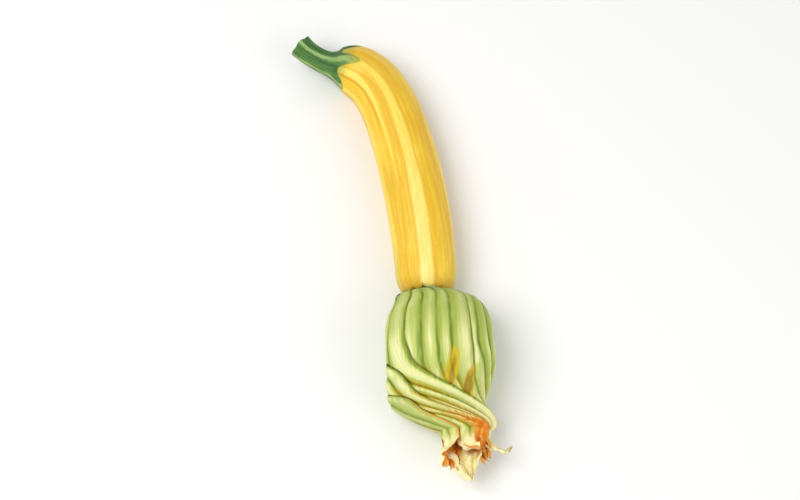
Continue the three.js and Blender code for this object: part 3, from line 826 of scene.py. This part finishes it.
def fruit_material():
    GOLD, DEEP_GOLD, LIGHT_GOLD = colour(243, 204, 52), colour(230, 180, 24), colour(250, 222, 92)
    STRIPE, PALE_STRIPE, ORANGE_GOLD = colour(251, 226, 98), colour(253, 238, 140), colour(222, 150, 18)
    GREEN_TINT, SHADE_GREY_GREEN = colour(140, 156, 48), colour(190, 186, 96)
    EARTH, BRUISED, CREASE = colour(212, 160, 34), colour(150, 120, 28), colour(70, 54, 18)
    s = Shader("fruit_skin")
    streaks = s.centred_noise("straight", (0.06, 1, 1), 1.8, 3)
    fine = s.centred_noise("straight", (0.1, 1, 1), 0.7, 2)
    broad = s.centred_noise("straight", (0.25, 1, 1), 11, 2)
    off_stripe, from_stalk = s.value("off_stripe"), s.value("from_stalk")
    from_flower = s.value("from_flower")
    base = s.mix(s.step(s.add(broad, streaks), -0.22, 0.3), DEEP_GOLD, GOLD)
    base = s.mix(s.times(s.step(s.add(streaks, fine), 0.05, 0.4), 0.55), base, LIGHT_GOLD)
    side_ribs = s.times(s.step(s.add(s.value("rib"), streaks), 0.72, 1.0), s.step(off_stripe, 10, 16))
    base = s.mix(s.times(side_ribs, 0.6), base, LIGHT_GOLD)
    # A darker wedge and the second, short stripe with an orange line beyond it.
    wedge_half_width = s.add(3.4, s.times(s.math("ABSOLUTE", s.add(from_stalk, -52)), -0.075))
    in_wedge = s.math("SUBTRACT", wedge_half_width, s.add(s.value("off_wedge"), s.times(streaks, 2.4)))
    base = s.mix(s.times(s.step(in_wedge, -0.4, 0.9), 0.75), base, DEEP_GOLD)
    second_half_width = s.add(2.4, s.times(from_stalk, -0.024))
    in_second = s.math("SUBTRACT", second_half_width, s.add(s.value("off_second"), s.times(streaks, 1.8)))
    beyond = s.times(s.step(in_second, -2.2, -0.9), s.step(from_stalk, 70, 25))
    base = s.mix(s.times(s.times(beyond, s.step(off_stripe, 9.5, 11)), 0.7), base, ORANGE_GOLD)
    base = s.mix(s.times(s.step(in_second, -0.3, 0.5), 0.85), base, STRIPE)
    # The main stripe widens and pales from the stalk to the flower, between two thin dark lines.
    half_width = s.add(1.5, s.times(from_stalk, 0.017))
    wandering = s.add(s.times(streaks, 3.2), s.times(broad, 2.4))
    in_stripe = s.math("SUBTRACT", half_width, s.add(off_stripe, wandering))
    beside = s.times(s.step(in_stripe, -2.3, -1.0), s.step(broad, -0.25, 0.1))
    base = s.mix(s.times(beside, 0.6), base, DEEP_GOLD)
    stripe_colour = s.mix(s.step(from_stalk, 40, 150), STRIPE, PALE_STRIPE)
    washed = s.add(0.72, s.times(s.add(streaks, fine), 0.9))
    base = s.mix(s.times(s.step(in_stripe, -0.7, 0.8), washed), base, stripe_colour)
    flecks = s.step(s.cells(s.vector("straight", (0.6, 1, 1)), 1.7), 0.2, 0.08)
    base = s.mix(s.times(flecks, 0.3), base, PALE_STRIPE)
    ragged = s.times(s.centred_noise("straight", (1, 1, 1), 3, 2), 8)
    near_stalk = s.step(s.add(from_stalk, ragged), 10, 0)
    base = s.mix(s.times(near_stalk, 0.7), base, GREEN_TINT)
    # Painted shade: grey-green on the sides and underside, away from the top stripe, towards the flower
    # end.
    painted_side_shade = s.times(s.step(s.add(from_flower, ragged), 42, 6), s.step(off_stripe, 15, 24))
    base = s.mix(s.times(painted_side_shade, 0.55), base, SHADE_GREY_GREEN)
    near_flower = s.step(s.add(from_flower, s.times(ragged, 1.4)), 9, 1)
    base = s.mix(s.times(s.times(near_flower, s.step(in_stripe, 1.0, -1.5)), 0.6), base, EARTH)
    rough_edge = s.times(s.centred_noise("straight", (1, 1, 1), 1.3, 3), 1.5)
    scar_edge = s.math("SUBTRACT", from_flower, s.add(s.times(s.value("notch"), 1.5), rough_edge))
    base = s.mix(s.times(s.step(scar_edge, 2.6, 0.8), 0.55), base, BRUISED)
    base = s.mix(s.times(s.step(scar_edge, 1.1, 0.3), 0.9), base, CREASE)
    waxy = s.noise(s.vector("straight"), 6, 3)
    rough = s.add(0.4, s.times(waxy, 0.22))
    grain = s.bump(s.noise(s.vector("straight", (0.35, 1, 1)), 0.9, 3), 0.12)
    pores = s.bump(flecks, 0.05, grain)
    s.set(Base_Color=base, Roughness=rough, Normal=pores, Subsurface_Weight=0.1, Coat_Weight=0.05)
    s.set(Coat_Roughness=0.35)
    s.surface.inputs["Subsurface Radius"].default_value = (1.0, 0.6, 0.2)
    s.surface.inputs["Subsurface Scale"].default_value = 2 * MM
    return s.material


def stalk_material():
    DARK, MID, PALE = colour(46, 92, 34), colour(84, 130, 52), colour(170, 200, 120)
    FLESH, RING, YELLOW_GREEN = colour(206, 216, 150), colour(150, 172, 90), colour(176, 170, 52)
    s = Shader("stalk_skin")
    fibres = s.noise(s.vector("straight", (0.12, 1, 1)), 1.1, 3)
    base = s.mix(s.step(fibres, 0.3, 0.7), DARK, MID)
    crest = s.add(s.value("ridge"), s.times(s.add(fibres, -0.5), 0.4))
    base = s.mix(s.times(s.step(crest, 0.84, 1.04), 0.75), base, PALE)
    spread = s.add(s.value("over_fruit"), s.times(s.add(fibres, -0.5), 6))
    base = s.mix(s.times(s.step(spread, 4, 11), 0.9), base, YELLOW_GREEN)
    flecks = s.step(s.cells(s.vector("straight"), 1.5), 0.2, 0.08)
    base = s.mix(s.times(flecks, 0.45), base, PALE)
    cut = s.step(s.value("cut"), 1.4, 1.1)
    ring = s.times(s.step(s.value("cut"), 0.5, 0.62), s.step(s.value("cut"), 0.8, 0.68))
    flesh = s.mix(s.times(ring, 0.8), FLESH, RING)
    base = s.mix(cut, base, flesh)
    s.set(Base_Color=base, Roughness=0.6, Normal=s.bump(fibres, 0.25), Subsurface_Weight=0.08)
    s.surface.inputs["Subsurface Scale"].default_value = 1.5 * MM
    return s.material


def petal_material():
    CREAM, LIGHT_GREEN, GREEN = colour(240, 238, 172), colour(202, 212, 122), colour(164, 182, 78)
    OLIVE, GROOVE_SHADE_OLIVE, TEAL = colour(126, 146, 44), colour(92, 112, 26), colour(122, 172, 112)
    MUSTARD, OCHRE, YELLOW = colour(208, 180, 30), colour(160, 130, 4), colour(232, 196, 84)
    ORANGE, DEEP_ORANGE = colour(236, 158, 56), colour(220, 124, 30)
    TIP_CREAM, BURNT = colour(252, 244, 186), colour(150, 70, 22)
    s = Shader("petal_skin")
    flow = s.vector("straight", (0.12, 1, 1))
    streaks = s.centred_noise("straight", (0.08, 1, 1), 1.4, 3)
    broad = s.centred_noise("straight", (0.2, 1, 1), 7, 2)
    across, along, tip, covered = (s.value(name) for name in ("across", "along", "tip", "covered"))
    # Painted highlight and painted shade across each pleat, over the petal's own green and cream bands:
    # olive in the grooves, light green and cream on the crests' lit side.
    ridge = s.add(s.value("ridge"), s.times(streaks, 0.4))
    lit_side = s.add(ridge, s.times(s.value("skew"), 0.22))
    base = s.mix(s.step(ridge, 0.24, 0.56), OLIVE, GREEN)
    base = s.mix(s.step(s.add(lit_side, s.times(broad, 0.6)), 0.52, 0.86), base, LIGHT_GREEN)
    base = s.mix(s.times(s.step(s.add(lit_side, s.times(broad, 0.9)), 0.94, 1.14), 0.95), base, CREAM)
    shade_below = s.times(s.step(s.add(s.value("flap"), s.times(broad, 0.6)), 0.6, 0.1), 0.7)
    shade_below = s.times(shade_below, s.step(along, 0.5, 0.75))
    shaded = s.math("MAXIMUM", s.times(s.step(along, 0.5, 0.24), 0.9), shade_below)
    base = s.mix(s.times(shaded, 0.62), base, GREEN)
    flap = s.times(s.step(s.add(across, s.times(streaks, 0.1)), 0.34, 0.2), s.step(along, 0.3, 0.5))
    flap = s.times(flap, s.times(s.step(ridge, 0.5, 0.8), s.value("flap")))
    base = s.mix(s.times(flap, 0.75), base, CREAM)
    is_flap = s.step(s.value("flap"), 0.6, 0.9)
    pale_end = s.times(is_flap, s.step(s.add(along, s.times(streaks, 0.1)), 0.8, 0.96))
    base = s.mix(s.times(pale_end, 0.7), base, TIP_CREAM)
    # Painted shade: deep olive in the bottoms of the grooves, in patches.
    deep = s.times(s.step(ridge, 0.38, 0.18), s.step(broad, -0.2, 0.15))
    base = s.mix(s.times(deep, 0.75), base, GROOVE_SHADE_OLIVE)
    wavy = s.add(across, s.times(streaks, 0.02))
    veins = s.math("ABSOLUTE", s.math("SINE", s.times(wavy, 57)))
    base = s.mix(s.times(s.times(s.step(veins, 0.25, 0.02), s.step(ridge, 0.3, 0.6)), 0.3), base, GREEN)
    near_base = s.times(s.step(along, 0.1, 0.015), s.step(broad, -0.12, 0.12))
    base = s.mix(s.times(near_base, 0.7), base, TEAL)
    # Painted shade in mustard and ochre where the petal dives under the next one's free margin, darker in
    # the grooves, over the mustard of the petal's own folds.
    shade_under_next = s.times(s.step(s.add(covered, s.times(broad, 16)), -19, -7), s.step(ridge, 0.98, 0.6))
    shade_under_next = s.times(shade_under_next, s.times(s.step(along, 0.6, 0.76), s.step(along, 1.1, 0.9)))
    groove_shade_ochre = s.mix(s.step(ridge, 0.65, 0.3), MUSTARD, OCHRE)
    base = s.mix(s.times(shade_under_next, 0.7), base, groove_shade_ochre)
    # Ochre patches in the pleats beside the broad pale fold: painted shade of the dented fold valleys,
    # darkest in their cores, over the petal's own mustard.
    patch = s.step(s.add(s.value("shaded_ochre_patch"), s.times(s.add(broad, streaks), 0.8)), 0.22, 0.5)
    patch_core = s.step(s.add(s.value("shaded_ochre_patch"), s.times(s.add(streaks, broad), 1.2)), 0.5, 0.85)
    base = s.mix(s.times(patch, 0.95), base, s.mix(patch_core, MUSTARD, OCHRE))
    margin = s.times(s.step(s.add(across, s.times(streaks, 0.12)), 0.09, 0.02), s.step(along, 0.8, 0.98))
    base = s.mix(margin, base, s.mix(s.step(along, 0.86, 1.0), YELLOW, ORANGE))
    patches = s.centred_noise("straight", (0.4, 1, 1), 4, 3)
    outer_tip = s.mix(s.step(patches, -0.02, 0.16), TIP_CREAM, YELLOW)
    base = s.mix(s.step(s.add(tip, s.times(streaks, 0.4)), 0.0, 0.4), base, outer_tip)
    dried_end = s.step(s.add(along, s.times(streaks, 0.25)), 0.88, 0.99)
    dried_end = s.times(dried_end, s.step(s.add(across, s.times(patches, 0.3)), 0.62, 0.42))
    dried_orange = s.mix(s.step(s.add(patches, streaks), -0.12, 0.16), ORANGE, DEEP_ORANGE)
    base = s.mix(s.times(dried_end, s.value("orange_end")), base, dried_orange)
    inside = s.mix(s.step(s.add(patches, s.times(streaks, 0.5)), -0.12, 0.16), ORANGE, DEEP_ORANGE)
    fades = s.step(s.add(s.add(tip, s.times(s.value("pale"), 0.7)), s.times(patches, 1.3)), 0.62, 1.02)
    inside = s.mix(s.times(fades, 0.95), inside, TIP_CREAM)
    inside = s.mix(s.times(s.step(ridge, 0.8, 1.05), 0.25), inside, TIP_CREAM)
    inside = s.mix(s.step(along, 0.95, 0.7), inside, YELLOW)
    base = s.mix(s.value("inner"), base, inside)
    edge = s.math("MINIMUM", across, s.math("SUBTRACT", 1.0, across))
    rim = s.times(s.step(s.add(edge, s.times(streaks, 0.06)), 0.04, 0.0), s.step(tip, 0.3, 0.7))
    tip_end = s.step(s.add(tip, s.times(patches, 0.5)), 0.95, 1.08)
    dried = s.times(s.math("MAXIMUM", rim, tip_end), s.step(patches, -0.1, 0.12))
    base = s.mix(s.times(dried, 0.7), base, BURNT)
    grain = s.bump(s.noise(flow, 0.5, 3), 0.14)
    s.set(Base_Color=base, Roughness=0.55, Normal=grain, Subsurface_Weight=0.2, Specular_IOR_Level=0.2)
    s.surface.inputs["Subsurface Radius"].default_value = (1.0, 0.9, 0.4)
    s.surface.inputs["Subsurface Scale"].default_value = 1.5 * MM
    return s.material


def sepal_material():
    GREEN, TEAL, PALE = colour(140, 172, 92), colour(130, 176, 120), colour(196, 210, 134)
    s = Shader("sepal_skin")
    fibres = s.noise(s.vector("straight"), 0.8, 3)
    base = s.mix(s.step(fibres, 0.35, 0.65), GREEN, TEAL)
    base = s.mix(s.math("MULTIPLY", s.step(s.value("along"), 0.6, 1.0), 0.6), base, PALE)
    s.set(Base_Color=base, Roughness=0.6, Normal=s.bump(fibres, 0.15), Subsurface_Weight=0.1)
    s.surface.inputs["Subsurface Scale"].default_value = 1 * MM
    return s.material


def pistil_material():
    STYLE, STIGMA, DEEP = colour(232, 204, 110), colour(232, 150, 40), colour(196, 104, 20)
    s = Shader("pistil_flesh")
    velvet = s.noise(s.vector("straight"), 0.45, 3)
    stigma = s.mix(s.step(velvet, 0.35, 0.65), STIGMA, DEEP)
    base = s.mix(s.step(s.value("along"), 0.45, 0.62), STYLE, stigma)
    s.set(Base_Color=base, Roughness=0.65, Normal=s.bump(velvet, 0.2), Subsurface_Weight=0.15)
    s.set(Sheen_Weight=0.2)
    s.surface.inputs["Subsurface Scale"].default_value = 1.5 * MM
    return s.material


def floor_material():
    s = Shader("pale_floor")
    s.set(Base_Color=(0.9, 0.9, 0.89, 1.0), Roughness=0.85)
    return s.material


# ---- The pieces, each on the part's one body and in place of its construction solid ----


def put(piece, node, material):
    piece.data.materials.append(material)
    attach(piece, "root")
    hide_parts(node)


put(fruit(), "fruit", fruit_material())
put(stalk(), "stalk", stalk_material())
petal_skin, sepal_skin = petal_material(), sepal_material()
for k in range(FIVE):
    put(petal(k), f"petal_{k + 1}", petal_skin)
    put(sepal(k), f"sepal_{k + 1}", sepal_skin)
put(pistil(), "pistil", pistil_material())

# ---- Floor, light and camera ----


def floor():
    SIZE = 8.0
    mesh = bpy.data.meshes.new("floor")
    corners = ((-1, -1), (1, -1), (1, 1), (-1, 1))
    mesh.from_pydata([(x * SIZE / 2, y * SIZE / 2, 0) for x, y in corners], [], [(0, 1, 2, 3)])
    mesh.materials.append(floor_material())
    piece = bpy.data.objects.new("floor", mesh)
    bpy.context.scene.collection.objects.link(piece)


def area_light(name, place, aim, size, watts):
    light = bpy.data.lights.new(name, "AREA")
    light.shape = "DISK"
    light.size = size
    light.energy = watts
    lamp = bpy.data.objects.new(name, light)
    lamp.location = place
    lamp.rotation_euler = (Vector(aim) - Vector(place)).to_track_quat("-Z", "Y").to_euler()
    bpy.context.scene.collection.objects.link(lamp)


def world_light(strength):
    world = bpy.data.worlds.new("studio")
    world.use_nodes = True
    background = world.node_tree.nodes["Background"]
    background.inputs["Color"].default_value = (1.0, 1.0, 1.0, 1.0)
    background.inputs["Strength"].default_value = strength
    bpy.context.scene.world = world


def camera(elevation, distance, lens, target):
    data = bpy.data.cameras.new("camera")
    data.lens = lens
    rig = bpy.data.objects.new("camera", data)
    angle = math.radians(elevation)
    rig.location = Vector(target) + distance * Vector((0, -math.cos(angle), math.sin(angle)))
    rig.rotation_euler = (Vector(target) - rig.location).to_track_quat("-Z", "Y").to_euler()
    bpy.context.scene.collection.objects.link(rig)
    bpy.context.scene.camera = rig


floor()
area_light("key", (-0.5, -0.12, 1.0), (0, 0, 0), 0.8, 7.4)
area_light("fill", (0.9, -0.5, 0.7), (0, 0, 0), 1.2, 4.0)
world_light(0.56)
camera(elevation=70, distance=1.08, lens=85, target=(0, 0, 0.02))
bpy.context.scene.view_settings.view_transform = "Standard"
